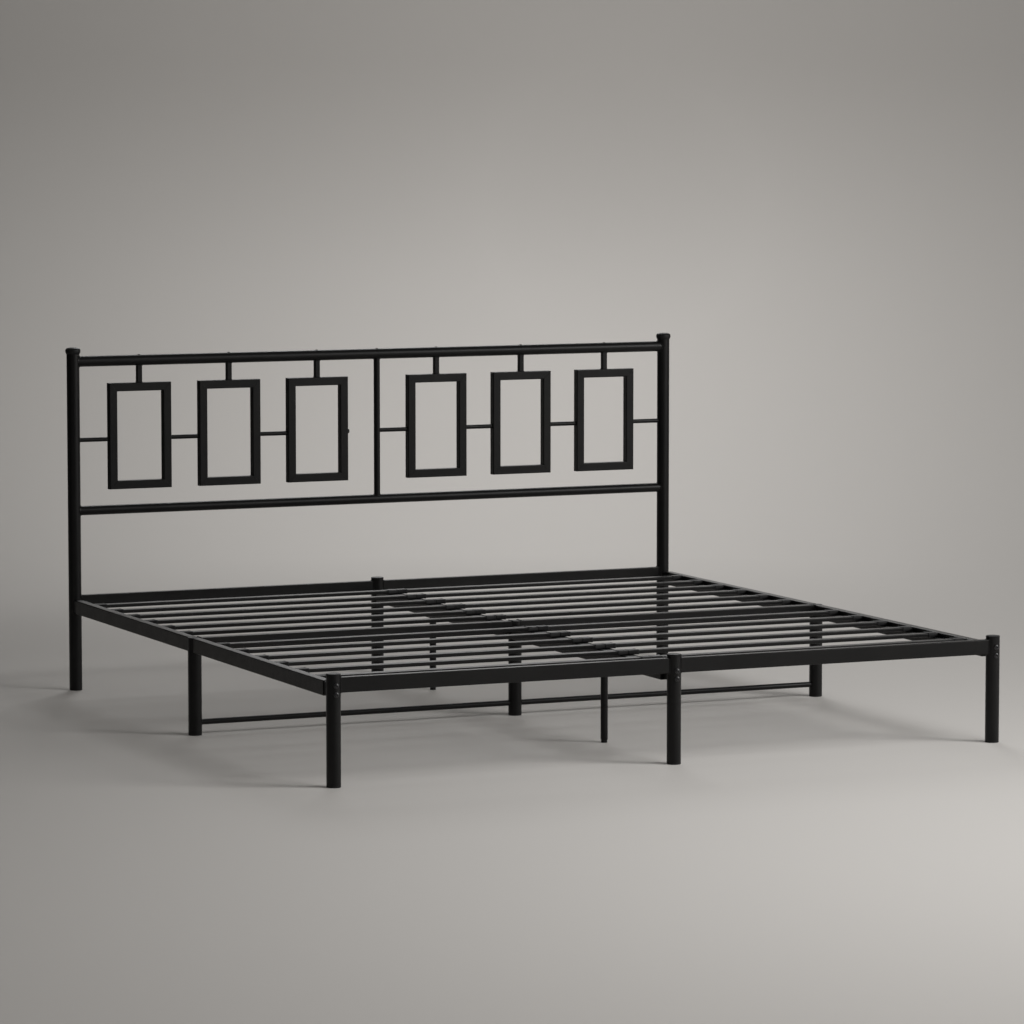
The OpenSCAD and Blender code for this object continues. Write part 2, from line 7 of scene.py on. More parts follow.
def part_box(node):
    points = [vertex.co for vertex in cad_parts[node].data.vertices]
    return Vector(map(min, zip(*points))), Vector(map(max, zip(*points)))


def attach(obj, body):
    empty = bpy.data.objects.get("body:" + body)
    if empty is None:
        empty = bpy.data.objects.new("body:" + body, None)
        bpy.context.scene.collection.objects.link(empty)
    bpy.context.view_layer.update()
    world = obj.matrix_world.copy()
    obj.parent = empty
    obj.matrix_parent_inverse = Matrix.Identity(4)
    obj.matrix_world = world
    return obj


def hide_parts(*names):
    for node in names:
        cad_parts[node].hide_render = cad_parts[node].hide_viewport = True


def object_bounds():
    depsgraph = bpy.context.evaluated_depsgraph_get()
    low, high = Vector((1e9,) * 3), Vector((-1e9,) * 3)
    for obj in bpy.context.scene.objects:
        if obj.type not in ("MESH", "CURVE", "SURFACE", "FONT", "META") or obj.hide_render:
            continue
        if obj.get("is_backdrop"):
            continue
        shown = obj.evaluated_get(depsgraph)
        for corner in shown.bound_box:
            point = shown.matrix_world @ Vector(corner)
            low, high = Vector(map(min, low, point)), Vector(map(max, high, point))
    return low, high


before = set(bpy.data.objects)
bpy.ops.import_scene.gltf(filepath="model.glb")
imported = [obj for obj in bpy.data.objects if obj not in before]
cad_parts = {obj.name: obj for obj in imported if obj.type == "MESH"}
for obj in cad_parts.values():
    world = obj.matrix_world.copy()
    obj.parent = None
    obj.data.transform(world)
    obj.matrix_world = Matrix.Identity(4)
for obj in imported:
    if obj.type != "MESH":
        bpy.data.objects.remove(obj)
cad_low, cad_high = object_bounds()

# ---------- head posts ----------
# Two round steel tubes that run from the floor to above the top rail and carry the headboard.
# Each is sawn from long tube and drilled for the rail bolts, and the whole headboard is then
# sprayed with black powder and baked: a satin skin with a faint orange peel.


def middle_of(node):
    """Middle of a CAD node's box."""
    low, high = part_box(node)
    return (low + high) / 2


def size_of(node):
    """Length, width and height of a CAD node's box."""
    low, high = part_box(node)
    return high - low


def shade_node(finish, kind, inputs=None, **settings):
    """Adds a shader node. An input is given as a value, or as the output that feeds it."""
    made = finish.node_tree.nodes.new("ShaderNode" + kind)
    for name, value in settings.items():
        setattr(made, name, value)
    for name, value in (inputs or {}).items():
        if isinstance(value, bpy.types.NodeSocket):
            finish.node_tree.links.new(value, made.inputs[name])
        else:
            made.inputs[name].default_value = value
    return made


def blend_colours(finish, factor, first, last, start, stop):
    """Colour that goes from first to last as factor goes from start to stop."""
    ramp = shade_node(finish, "ValToRGB", {"Fac": factor})
    ramp.color_ramp.elements[0].position = start
    ramp.color_ramp.elements[1].position = stop
    ramp.color_ramp.elements[0].color = (*first, 1)
    ramp.color_ramp.elements[1].color = (*last, 1)
    return ramp.outputs["Color"]


def spread_value(finish, value, low, high, start=0.3, stop=0.7):
    """Number that goes from low to high as value goes from start to stop."""
    inputs = {"Value": value, "From Min": start, "From Max": stop, "To Min": low, "To Max": high}
    return shade_node(finish, "MapRange", inputs).outputs["Result"]


def noise_at(finish, place, cells, detail=2.0):
    """Soft noise with about so many cells to a metre."""
    inputs = {"Vector": place, "Scale": cells, "Detail": detail, "Roughness": 0.55}
    return shade_node(finish, "TexNoise", inputs).outputs["Fac"]


def rough_skin(finish, place, *layers):
    """Bump from layers of noise, each given as cells to a metre and depth in metres."""
    normal = None
    for cells, depth in layers:
        inputs = {"Height": noise_at(finish, place, cells), "Distance": depth, "Strength": 1.0}
        if normal:
            inputs["Normal"] = normal
        normal = shade_node(finish, "Bump", inputs).outputs["Normal"]
    return normal


def new_finish(name, metallic=0.0, specular=0.5):
    """A finish and its shader, with the place on the object in metres that its patterns use."""
    finish = bpy.data.materials.new(name)
    finish.use_nodes = True
    shader = finish.node_tree.nodes["Principled BSDF"]
    shader.inputs["Metallic"].default_value = metallic
    shader.inputs["Specular IOR Level"].default_value = specular
    place = shade_node(finish, "TexCoord").outputs["Object"]
    return finish, shader, place


def feed(finish, shader, **outputs):
    """Joins outputs to the shader's inputs: base_color feeds Base Color."""
    for name, output in outputs.items():
        finish.node_tree.links.new(output, shader.inputs[name.replace("_", " ").title()])


def satin_powder_coat():
    """Black polyester powder: cloudy by a few percent, orange peel, a trace of dust on top."""
    deep, thin = (0.0030, 0.0030, 0.0032), (0.0048, 0.0047, 0.0047)
    dust, most_dust = (0.018, 0.017, 0.016), 0.16
    orange_peel, grain = (330.0, 0.00022), (1300.0, 0.00007)
    finish, shader, place = new_finish("satin_black_powder_coat", specular=0.27)
    clouds = noise_at(finish, place, cells=9.0, detail=4.0)
    patches = noise_at(finish, place, cells=42.0, detail=3.0)
    black = blend_colours(finish, clouds, deep, thin, start=0.32, stop=0.70)
    facing = shade_node(finish, "NewGeometry").outputs["Normal"]
    upward = shade_node(finish, "SeparateXYZ", {"Vector": facing}).outputs["Z"]
    settled = spread_value(finish, upward, 0.0, most_dust, start=0.75, stop=1.0)
    dusty = shade_node(finish, "Math", {0: settled, 1: patches}, operation="MULTIPLY")
    layer = shade_node(finish, "Mix", {"Factor": dusty.outputs["Value"]}, data_type="RGBA")
    finish.node_tree.links.new(black, layer.inputs[6])
    layer.inputs[7].default_value = (*dust, 1)
    roughness = spread_value(finish, patches, 0.35, 0.41)
    skin = rough_skin(finish, place, orange_peel, grain)
    feed(finish, shader, base_color=layer.outputs[2], roughness=roughness, normal=skin)
    return finish


def coat(*nodes):
    """Gives CAD nodes the powder coat."""
    for name in nodes:
        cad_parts[name].data.materials.clear()
        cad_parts[name].data.materials.append(powder_coat)


powder_coat = satin_powder_coat()
coat("head_post_left", "head_post_right")
post_radius = size_of("head_post_left").x / 2
post_x = middle_of("head_post_right").x
head_y = middle_of("head_post_left").y

# ---------- headboard rails and upright ----------
# The top rail and the thinner lower rail are single round tubes, notched at both ends to sit
# round the posts, and a slim upright joins their middles. Every joint has a bead of weld
# round it, laid in short overlapping steps, which the powder covers.

MM = 0.001
X, Y, Z = Vector((1, 0, 0)), Vector((0, 1, 0)), Vector((0, 0, 1))
ROUND_TUBE_SIDES = 48
WELD_STEP = 2.6 * MM
BEAD_SIDES = 7
BEAD_NECK = 0.84  # width between two steps, as a share of the full width
BEAD_UNEVEN, BEAD_LUMPS = 0.12, 170  # share of the width, lumps to a metre
BEAD_TIP, BEAD_TIP_RISE = 0.25, 0.4  # share of the width at an open end, and its growth per point


def round_outline(radius):
    """Outline of a round tube."""
    turns = [math.tau * k / ROUND_TUBE_SIDES for k in range(ROUND_TUBE_SIDES)]
    return [Vector((radius * math.cos(t), radius * math.sin(t))) for t in turns]


def end_line(origin, axis, across, outline, seat_radius=0.0):
    """Line where a tube's end meets a round tube of seat_radius, or a flat face at 0.
    Origin is on the round tube's own middle line, or on the face; axis points away from it."""
    along = axis.cross(across)
    line = []
    for a, b in outline:
        reach = math.sqrt(max(seat_radius ** 2 - a * a, 0))
        line.append(origin + across * a + along * b + axis * reach)
    return line


def evenly(points, step, closed):
    """The same line with its points about step apart, in a whole number of pairs."""
    ring = points + points[:1] if closed else points
    reach = [0.0]
    for here, there in zip(ring, ring[1:]):
        reach.append(reach[-1] + (there - here).length)
    pairs = max(round(reach[-1] / step / 2), 3)
    count = 2 * pairs
    spaced, k = [], 0
    for s in range(count if closed else count + 1):
        want = reach[-1] * s / count
        while reach[k + 1] < want and k < len(reach) - 2:
            k += 1
        share = (want - reach[k]) / (reach[k + 1] - reach[k])
        spaced.append(ring[k].lerp(ring[k + 1], share))
    return spaced


def loft(mesh, rings, caps=True, wrap=False):
    """Skin over rings of equally many points, its ends capped, left open or joined by wrap."""
    made = [[mesh.verts.new(point) for point in ring] for ring in rings]
    following = made[1:] + made[:1] if wrap else made[1:]
    for lower, upper in zip(made, following):
        for k in range(len(lower)):
            j = (k + 1) % len(lower)
            mesh.faces.new((lower[k], lower[j], upper[j], upper[k]))
    if caps and not wrap:
        mesh.faces.new(reversed(made[0]))
        mesh.faces.new(made[-1])


def lay_bead(mesh, line, radius, closed=True):
    """Weld bead along a line: a soft tube that narrows to a neck between two steps of the torch."""
    points = evenly(line, WELD_STEP / 2, closed)
    centre = sum(points, Vector()) / len(points)
    rings = []
    for k, here in enumerate(points):
        before = points[k - 1] if closed or k else here
        after = points[(k + 1) % len(points)] if closed or k < len(points) - 1 else here
        forward = (after - before).normalized()
        outward = here - centre if closed else Z.cross(forward)
        outward = (outward - forward * outward.dot(forward)).normalized()
        beside = forward.cross(outward)
        swell = 1.0 if k % 2 else BEAD_NECK
        uneven = 1 + BEAD_UNEVEN * noise.noise(here * BEAD_LUMPS)
        from_tip = min(k, len(points) - 1 - k)
        at_tip = 1.0 if closed else min(1.0, BEAD_TIP + BEAD_TIP_RISE * from_tip)
        reach = radius * swell * uneven * at_tip
        turns = [math.tau * s / BEAD_SIDES for s in range(BEAD_SIDES)]
        ring = [here + (outward * math.cos(t) + beside * math.sin(t)) * reach for t in turns]
        rings.append(ring)
    loft(mesh, rings, wrap=closed)


def make_piece(name, mesh, finish, body="frame", sharp=35):
    """Turns a mesh into an object on a body, shaded smooth but for edges over sharp degrees."""
    bmesh.ops.recalc_face_normals(mesh, faces=mesh.faces)
    data = bpy.data.meshes.new(name)
    mesh.to_mesh(data)
    mesh.free()
    data.shade_smooth()
    data.set_sharp_from_angle(angle=math.radians(sharp))
    data.materials.append(finish)
    piece = bpy.data.objects.new(name, data)
    bpy.context.scene.collection.objects.link(piece)
    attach(piece, body)
    return piece


coat("top_rail", "lower_rail", "center_post")
top_rail_z = middle_of("top_rail").z
lower_rail_z = middle_of("lower_rail").z
top_rail_radius = size_of("top_rail").z / 2
lower_rail_radius = size_of("lower_rail").z / 2
upright_radius = size_of("center_post").x / 2
rail_bead, upright_bead = 2.4 * MM, 1.9 * MM

beads = bmesh.new()
for height, radius in [(top_rail_z, top_rail_radius), (lower_rail_z, lower_rail_radius)]:
    for side in (-1, 1):
        origin = Vector((side * post_x, head_y, height))
        line = end_line(origin, -side * X, Y, round_outline(radius), post_radius)
        lay_bead(beads, line, rail_bead)
for height, radius, way in [(top_rail_z, top_rail_radius, -1),
                            (lower_rail_z, lower_rail_radius, 1)]:
    line = end_line(Vector((0, head_y, height)), way * Z, Y, round_outline(upright_radius), radius)
    lay_bead(beads, line, upright_bead)
make_piece("headboard_rail_welds", beads, powder_coat)

# ---------- headboard rectangles ----------
# Six upright rectangles of square steel tube, the pattern of the headboard. The four sides of
# each are sawn at 45 degrees, welded at the corners and ground nearly flush, which leaves a
# fine raised line across every mitre.

RECTANGLES = [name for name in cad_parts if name.startswith("headboard_frame_")]


def rounded(corners, steps=4, closed=True):
    """A flat outline with round corners. A corner is (across, along, radius of its rounding)."""
    line = []
    for k, (across, along, radius) in enumerate(corners):
        here = Vector((across, along))
        at_end = not closed and k in (0, len(corners) - 1)
        if radius == 0 or at_end:
            line.append(here)
            continue
        back = (Vector(corners[k - 1][:2]) - here).normalized()
        ahead = (Vector(corners[(k + 1) % len(corners)][:2]) - here).normalized()
        half = back.angle(ahead) / 2
        centre = here + (back + ahead).normalized() * radius / math.sin(half)
        first = here + back * radius / math.tan(half) - centre
        last = here + ahead * radius / math.tan(half) - centre
        line += [centre + first.slerp(last, s / steps) * radius for s in range(steps + 1)]
    return line


def box_outline(across, along, radius):
    """Outline of a box tube, its corners rounded."""
    a, b = across / 2, along / 2
    return rounded([(a, -b, radius), (a, b, radius), (-a, b, radius), (-a, -b, radius)])


coat(*RECTANGLES)
square_tube = size_of(RECTANGLES[0]).y
tube_corner = 2.5 * MM
mitre_bead = 0.6 * MM
corner_grind = 0.9 * MM

beads = bmesh.new()
mitre = box_outline(square_tube * math.sqrt(2) - 2 * corner_grind, square_tube, tube_corner)
for name in RECTANGLES:
    low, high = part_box(name)
    for side, level in [(-1, -1), (-1, 1), (1, -1), (1, 1)]:
        corner = Vector((high.x if side > 0 else low.x, head_y, high.z if level > 0 else low.z))
        inward = Vector((-side, 0, -level)).normalized()
        origin = corner + inward * square_tube / math.sqrt(2)
        lay_bead(beads, end_line(origin, inward.cross(Y), inward, mitre), mitre_bead)
make_piece("rectangle_mitre_welds", beads, powder_coat)

# ---------- hangers and link bars ----------
# Short square tubes hang the rectangles from the top rail, and thin round bars tie them to one
# another, to the posts and to the upright. The bar beside the upright stops short as a stub.
# All are welded round, and plug welds hold the hangers' and the upright's tongues in the top rail.

SAME_POINT = 0.001 * MM
POST_SLACK, RECTANGLE_SLACK = 2 * MM, 1 * MM
PLUG_WELD_SIDES = 20
PLUG_WELD_UNEVEN, PLUG_WELD_LUMPS = 0.06, 90  # share of the radius, lumps to a metre


def to_tenths(length):
    """A length in metres rounded to a tenth of a millimetre."""
    return round(length, 4)


def solids_in(node):
    """Lowest and highest corner of each separate solid of a CAD node, from left to right."""
    mesh = bmesh.new()
    mesh.from_mesh(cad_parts[node].data)
    bmesh.ops.remove_doubles(mesh, verts=mesh.verts, dist=SAME_POINT)
    boxes, left = [], set(mesh.verts)
    while left:
        edge = [left.pop()]
        low, high = edge[0].co.copy(), edge[0].co.copy()
        while edge:
            here = edge.pop()
            low, high = Vector(map(min, low, here.co)), Vector(map(max, high, here.co))
            near = {e.other_vert(here) for e in here.link_edges} & left
            left -= near
            edge += near
        boxes.append((low, high))
    mesh.free()
    return sorted(boxes, key=lambda box: tuple(to_tenths(v) for v in (box[0] + box[1])))


def welded_end(mesh, end_x, height, outline, way, bead):
    """Bead where a bar's end, which points along way, meets a post, the upright or a rectangle."""
    for x, radius in [(-post_x, post_radius), (post_x, post_radius), (0, upright_radius)]:
        if abs(abs(end_x - x) - radius) < POST_SLACK:
            origin = Vector((x, head_y, height))
            lay_bead(mesh, end_line(origin, -way * X, Y, outline, radius), bead)
    for name in RECTANGLES:
        if min(abs(end_x - corner.x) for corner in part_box(name)) < RECTANGLE_SLACK:
            origin = Vector((end_x, head_y, height))
            lay_bead(mesh, end_line(origin, -way * X, Y, outline), bead)


def plug_weld(mesh, place, radius, height):
    """Low round button of weld that fills a hole in a tube's top."""
    turns = [math.tau * k / PLUG_WELD_SIDES for k in range(PLUG_WELD_SIDES)]
    lumps = [noise.noise((place + X * t) * PLUG_WELD_LUMPS) for t in turns]
    rings = []
    for share, rise in [(1.0, -1.0), (1.0, 0.15), (0.86, 0.62), (0.55, 0.92), (0.2, 1.0)]:
        reach = [share * radius * (1 + PLUG_WELD_UNEVEN * lump) for lump in lumps]
        rings.append([place + X * r * math.cos(t) + Y * r * math.sin(t) + Z * rise * height
                      for r, t in zip(reach, turns)])
    loft(mesh, rings)


coat("frame_hangers", "link_bars")
hanger_bead, link_bead = 2.2 * MM, 1.6 * MM
plug_radius, plug_rise = 4.5 * MM, 1.3 * MM
rail_crown = top_rail_z + top_rail_radius

beads = bmesh.new()
for low, high in solids_in("frame_hangers"):
    x = (low.x + high.x) / 2
    section = box_outline(high.x - low.x, high.y - low.y, tube_corner)
    top = end_line(Vector((x, head_y, top_rail_z)), -Z, Y, section, top_rail_radius)
    foot = end_line(Vector((x, head_y, low.z)), Z, Y, section)
    lay_bead(beads, top, hanger_bead)
    lay_bead(beads, foot, hanger_bead)
    plug_weld(beads, Vector((x, head_y, rail_crown)), plug_radius, plug_rise)
plug_weld(beads, Vector((0, head_y, rail_crown)), plug_radius, plug_rise)
for low, high in solids_in("link_bars"):
    height = (low.z + high.z) / 2
    section = round_outline((high.z - low.z) / 2)
    welded_end(beads, low.x, height, section, -1, link_bead)
    welded_end(beads, high.x, height, section, 1, link_bead)
make_piece("hanger_and_link_welds", beads, powder_coat)

# ---------- head rail and its middle leg ----------
# Two flat box tubes run between the posts and a short middle leg, just above the deck, and are
# welded to all three, so the headboard and its legs are one rigid end of the bed.

BOX_RAIL_BEAD = 2.3 * MM


def weld_box_rail(mesh, node, y):
    """Beads at both ends of a box rail that runs in X between two round legs of equal size."""
    low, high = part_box(node)
    section = box_outline(high.y - low.y, high.z - low.z, tube_corner)
    side = 1 if low.x + high.x > 0 else -1
    for x, way in [(0, side), (side * post_x, -side)]:
        origin = Vector((x, y, (low.z + high.z) / 2))
        lay_bead(mesh, end_line(origin, way * X, Y, section, post_radius), BOX_RAIL_BEAD)


coat("head_rail_left", "head_rail_right", "head_leg_center")
beads = bmesh.new()
for name in ("head_rail_left", "head_rail_right"):
    weld_box_rail(beads, name, head_y)
make_piece("head_rail_welds", beads, powder_coat)

# ---------- foot end ----------
# Three legs of the same round tube as the posts, joined by two box tubes just below their tops.
# It is welded and coated as one piece, like the headboard.

coat("foot_leg_left", "foot_leg_center", "foot_leg_right", "foot_rail_left", "foot_rail_right")
foot_y = middle_of("foot_leg_center").y

beads = bmesh.new()
for name in ("foot_rail_left", "foot_rail_right"):
    weld_box_rail(beads, name, foot_y)
make_piece("foot_rail_welds", beads, powder_coat)

# ---------- middle trestle ----------
# Three more legs with a crossbar of box tube under the deck and a thin round stretcher close to
# the floor. Flat steel tongues, welded to its legs, reach into the rails and the center beam.

coat("mid_leg_left", "mid_leg_center", "mid_leg_right", "mid_crossbar_left", "mid_crossbar_right")
coat("stretcher_left", "stretcher_right", "rail_tongues")
stretcher_bead = 1.7 * MM
trestle_y = middle_of("mid_leg_center").y

beads = bmesh.new()
for name in ("mid_crossbar_left", "mid_crossbar_right"):
    weld_box_rail(beads, name, trestle_y)
for name, side in [("stretcher_left", -1), ("stretcher_right", 1)]:
    section = round_outline(size_of(name).z / 2)
    for x, way in [(0, side), (side * post_x, -side)]:
        origin = Vector((x, trestle_y, middle_of(name).z))
        lay_bead(beads, end_line(origin, way * X, Y, section, post_radius), stretcher_bead)
make_piece("trestle_welds", beads, powder_coat)

# ---------- side rails and slat ledges ----------
# Each side rail is two lengths of box tube that meet at the trestle. An angle is stitch-welded
# along the inner face to carry the slats, and a drilled plate with nuts closes each outer end.

coat("side_rail_left_head", "side_rail_left_foot", "side_rail_right_head", "side_rail_right_foot")
coat("slat_ledges_left", "slat_ledges_right", "rail_end_plates")
ledge_boxes = solids_in("slat_ledges_left") + solids_in("slat_ledges_right")
slat_places = sorted({to_tenths((low.y + high.y) / 2) for low, high in solids_in("slats_left")})
stitch_bead, stitch_length = 1.8 * MM, 28 * MM

beads = bmesh.new()
for low, high in ledge_boxes:
    face_x = high.x if high.x > 0 else low.x
    for here, there in zip(slat_places, slat_places[1:]):
        mid = (here + there) / 2
        if low.y < mid - stitch_length and mid + stitch_length < high.y:
            line = [Vector((face_x, mid + s * stitch_length / 2, low.z)) for s in (-1, 0, 1)]
            lay_bead(beads, line, stitch_bead, closed=False)
make_piece("ledge_stitch_welds", beads, powder_coat)

# ---------- center beam and its thin legs ----------
# The beam is box tube in two lengths between the end legs and the trestle. Under the middle of
# each length stands a thin leg: a tube welded to a flange plate, screwed up into the beam.

coat("center_beam_head", "center_beam_foot", "support_leg_head", "support_leg_foot")
flange_bead = 1.6 * MM
flange_thickness = 3 * MM
thin_leg_radius = 10 * MM

beads = bmesh.new()
for name in ("support_leg_head", "support_leg_foot"):
    low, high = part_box(name)
    origin = Vector((0, (low.y + high.y) / 2, high.z - flange_thickness))
    lay_bead(beads, end_line(origin, -Z, Y, round_outline(thin_leg_radius)), flange_bead)
make_piece("flange_welds", beads, powder_coat)

# ---------- post caps ----------
# Black moulded plastic caps close the tops of the head posts. Each is a bun-shaped head a little
# wider than the post, with a moulding gate in its crown, on a ribbed plug pushed into the tube.

TURN_STEPS = 72
PLUG_RIBS = 3


def moulded_plastic():
    """Black nylon from a spark-eroded mould: a fine even grain and a dull sheen."""
    dark, light = (0.0040, 0.0040, 0.0043), (0.0075, 0.0075, 0.0079)
    grain, ripple = (1700.0, 0.00009), (520.0, 0.00005)
    finish, shader, place = new_finish("moulded_black_plastic", specular=0.30)
    patches = noise_at(finish, place, cells=60.0, detail=3.0)
    colour = blend_colours(finish, patches, dark, light, start=0.3, stop=0.7)
    roughness = spread_value(finish, patches, 0.50, 0.64)
    skin = rough_skin(finish, place, grain, ripple)
    feed(finish, shader, base_color=colour, roughness=roughness, normal=skin)
    return finish


def turned(mesh, place, profile):
    """Lathe-turned solid. The profile is (radius, height) from one end of its axis to the other."""
    turns = [math.tau * k / TURN_STEPS for k in range(TURN_STEPS)]
    rings = []
    for radius, height in profile:
        ring = [Vector((radius * math.cos(t), radius * math.sin(t), height)) for t in turns]
        rings.append([place @ point for point in ring])
    loft(mesh, rings)


def plug_profile(radius, low, high):
    """Profile of a plug that goes into a tube: a tapered tip, then grip ribs."""
    pitch = (high - low) / (PLUG_RIBS + 1)
    core = radius * 0.93
    line = [(radius * 0.55, low), (radius * 0.86, low + 0.2 * pitch)]
    for k in range(PLUG_RIBS):
        start = low + (k + 0.7) * pitch
        line += [(core, start), (radius, start + 0.25 * pitch), (core, start + 0.6 * pitch)]
    return line + [(core, high)]


plastic = moulded_plastic()
tube_wall, plug_play = 1.2 * MM, 0.2 * MM
leg_plug_radius = post_radius - tube_wall - plug_play

for side in ("left", "right"):
    low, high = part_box("post_cap_" + side)
    head_radius = (high.x - low.x) / 2
    seat_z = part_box("head_post_" + side)[1].z
    # From the seat on the tube, out and up over the bun, to the gate in the crown.
    head = rounded([(post_radius * 0.9, seat_z, 0), (post_radius + 0.6 * MM, seat_z, 0.5 * MM),
                    (head_radius - 0.2 * MM, seat_z + 6 * MM, 3.5 * MM),
                    (head_radius, seat_z + 9 * MM, 5 * MM),
                    (head_radius - 0.3 * MM, high.z - 3.4 * MM, 7.5 * MM),
                    (head_radius * 0.48, high.z - 0.5 * MM, 9 * MM),
                    (head_radius * 0.16, high.z, 0.6 * MM), (1.6 * MM, high.z, 0.2 * MM),
                    (1.2 * MM, high.z - 0.4 * MM, 0)], closed=False)
    plug = plug_profile(leg_plug_radius, low.z, seat_z)
    middle = Matrix.Translation(((low.x + high.x) / 2, head_y, 0))
    cap = bmesh.new()
    turned(cap, middle, plug + [tuple(point) for point in head])
    piece = make_piece("post_cap_head_" + side, cap, plastic)
    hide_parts("post_cap_" + side)

# ---------- flat leg caps ----------
# The legs that end at the deck are closed by flat caps of the same plastic, flush with the tube
# and 3 mm thick, with a shallow dished middle and a ribbed plug below.

DISC_THICKNESS, DISH_DEPTH = 3 * MM, 0.5 * MM


def flat_cap(mesh, low, high):
    """Cap whose box is given: a dished disc on its plug."""
    rim = (high.x - low.x) / 2
    seat_z = high.z - DISC_THICKNESS
    dish_z = high.z - DISH_DEPTH
    disc = rounded([(rim * 0.9, seat_z, 0), (rim, seat_z, 0.4 * MM), (rim, high.z, 1.3 * MM),
                    (rim * 0.80, high.z, 0.6 * MM), (rim * 0.76, dish_z, 0.5 * MM),
                    (rim * 0.1, dish_z, 0)], closed=False)
    middle = Matrix.Translation(((low.x + high.x) / 2, (low.y + high.y) / 2, 0))
    plug = plug_profile(leg_plug_radius, low.z, seat_z)
    turned(mesh, middle, plug + [tuple(point) for point in disc])


for node in ("foot_cap_left", "foot_cap_center", "foot_cap_right", "deck_leg_caps"):
    cap = bmesh.new()
    for low, high in solids_in(node):
        flat_cap(cap, low, high)
    piece = make_piece(node + "_moulded", cap, plastic)
    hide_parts(node)

# ---------- leg glides ----------
# Plastic glides pushed into the lower ends of the nine legs keep the cut steel off the floor.
# The foot of each is a rounded ring with a hollow middle, so that it stands on its edge.

GLIDE_FOOT, GLIDE_HOLLOW = 4 * MM, 1.5 * MM

glides = bmesh.new()
for low, high in solids_in("leg_glides"):
    rim = (high.x - low.x) / 2
    seat_z = low.z + GLIDE_FOOT
    ring = rounded([(rim * 0.45, low.z + GLIDE_HOLLOW, 0), (rim * 0.52, low.z, 0.8 * MM),
                    (rim, low.z, 1.8 * MM), (rim, seat_z, 0.5 * MM), (rim * 0.93, seat_z, 0)],
                   closed=False)
    plug = plug_profile(leg_plug_radius, -high.z, -seat_z)
    upward = [(radius, -height) for radius, height in reversed(plug)]
    middle = Matrix.Translation(((low.x + high.x) / 2, (low.y + high.y) / 2, 0))
    turned(glides, middle, [tuple(point) for point in ring] + upward)
piece = make_piece("leg_glides_moulded", glides, plastic)
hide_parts("leg_glides")

# ---------- rail spacers ----------
# Between each leg and rail end sits a plastic spacer, hollowed to the round of the leg on one
# side and flat on the other, so that the bolts can pull the square rail up to the round leg.
# The mould leaves all its edges eased.

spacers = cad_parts["rail_saddles"]
spacers.data.materials.clear()
spacers.data.materials.append(plastic)
weld = spacers.modifiers.new("join", "WELD")
weld.merge_threshold = SAME_POINT
bevel = spacers.modifiers.new("ease", "BEVEL")
bevel.width = 1.1 * MM
bevel.segments = 2
bevel.limit_method = "ANGLE"
bevel.angle_limit = math.radians(50)
bevel.use_clamp_overlap = False
bevel.harden_normals = True

# ---------- leg bolts and nuts ----------
# Two black button-head bolts go through every leg and spacer into the end of a rail or of the
# beam, where nuts are welded behind the end plate. The heads have a six-sided socket.

BOLT_STEPS = 24
HEAD_SHARE = 0.55  # height of a button head, as a share of the screw's diameter
FINE_EDGE = 0.3 * MM
ROWS_PER_TURN = 4


def black_oxide():
    """Blackened steel, a little bluer and brighter than the powder coat, rubbed in places."""
    blue_black, rubbed = (0.008, 0.008, 0.009), (0.022, 0.022, 0.024)
    grain = (1500.0, 0.00005)
    finish, shader, place = new_finish("black_oxide_steel", specular=0.5)
    rubs = noise_at(finish, place, cells=520.0, detail=4.0)
    colour = blend_colours(finish, rubs, blue_black, rubbed, start=0.40, stop=0.72)
    roughness = spread_value(finish, rubs, 0.24, 0.40)
    skin = rough_skin(finish, place, grain)
    feed(finish, shader, base_color=colour, roughness=roughness, normal=skin)
    return finish


def zinc_plate():
    """Zinc-plated steel: bright grey with a fine grain and duller clouds."""
    dull, bright = (0.42, 0.42, 0.43), (0.58, 0.58, 0.60)
    grain = (2200.0, 0.00004)
    finish, shader, place = new_finish("zinc_plated_steel", metallic=1.0)
    clouds = noise_at(finish, place, cells=140.0, detail=3.0)
    colour = blend_colours(finish, clouds, dull, bright, start=0.3, stop=0.7)
    roughness = spread_value(finish, clouds, 0.26, 0.44)
    skin = rough_skin(finish, place, grain)
    feed(finish, shader, base_color=colour, roughness=roughness, normal=skin)
    return finish


def standing_on(place, axis):
    """Puts the origin at place and turns Z to point along axis."""
    return Matrix.Translation(place) @ axis.to_track_quat("Z", "Y").to_matrix().to_4x4()


def ring_at(place, height, reach, count=BOLT_STEPS):
    """Ring round the place's Z axis whose radius at each turn is reach(turn)."""
    turns = [math.tau * k / count for k in range(count)]
    return [place @ Vector((reach(t) * math.cos(t), reach(t) * math.sin(t), height)) for t in turns]


def six_sided(across_flats):
    """Radius of a hexagon at each turn."""
    return lambda turn: across_flats / 2 / math.cos((turn % (math.tau / 6)) - math.tau / 12)


def plain(radius):
    """Radius of a circle."""
    return lambda turn: radius


def thread_rings(place, start, stop, radius, pitch, count=BOLT_STEPS):
    """Rings of a screw thread: a ridge that climbs one pitch each turn and fades at both ends."""
    depth = 0.6 * pitch
    rings = []
    rows = max(ROWS_PER_TURN, round((stop - start) / pitch * ROWS_PER_TURN))
    for row in range(rows + 1):
        height = start + (stop - start) * row / rows
        fade = min(1.0, row / ROWS_PER_TURN, (rows - row) / ROWS_PER_TURN)

        def reach(turn, height=height, fade=fade):
            climb = (height / pitch - turn / math.tau) % 1.0
            return radius - depth * (1 - abs(2 * climb - 1) * fade)
        rings.append(ring_at(place, height, reach, count))
    return rings


def head_height_of(radius):
    """Height of a button head, from the radius of its screw."""
    return HEAD_SHARE * 2 * radius


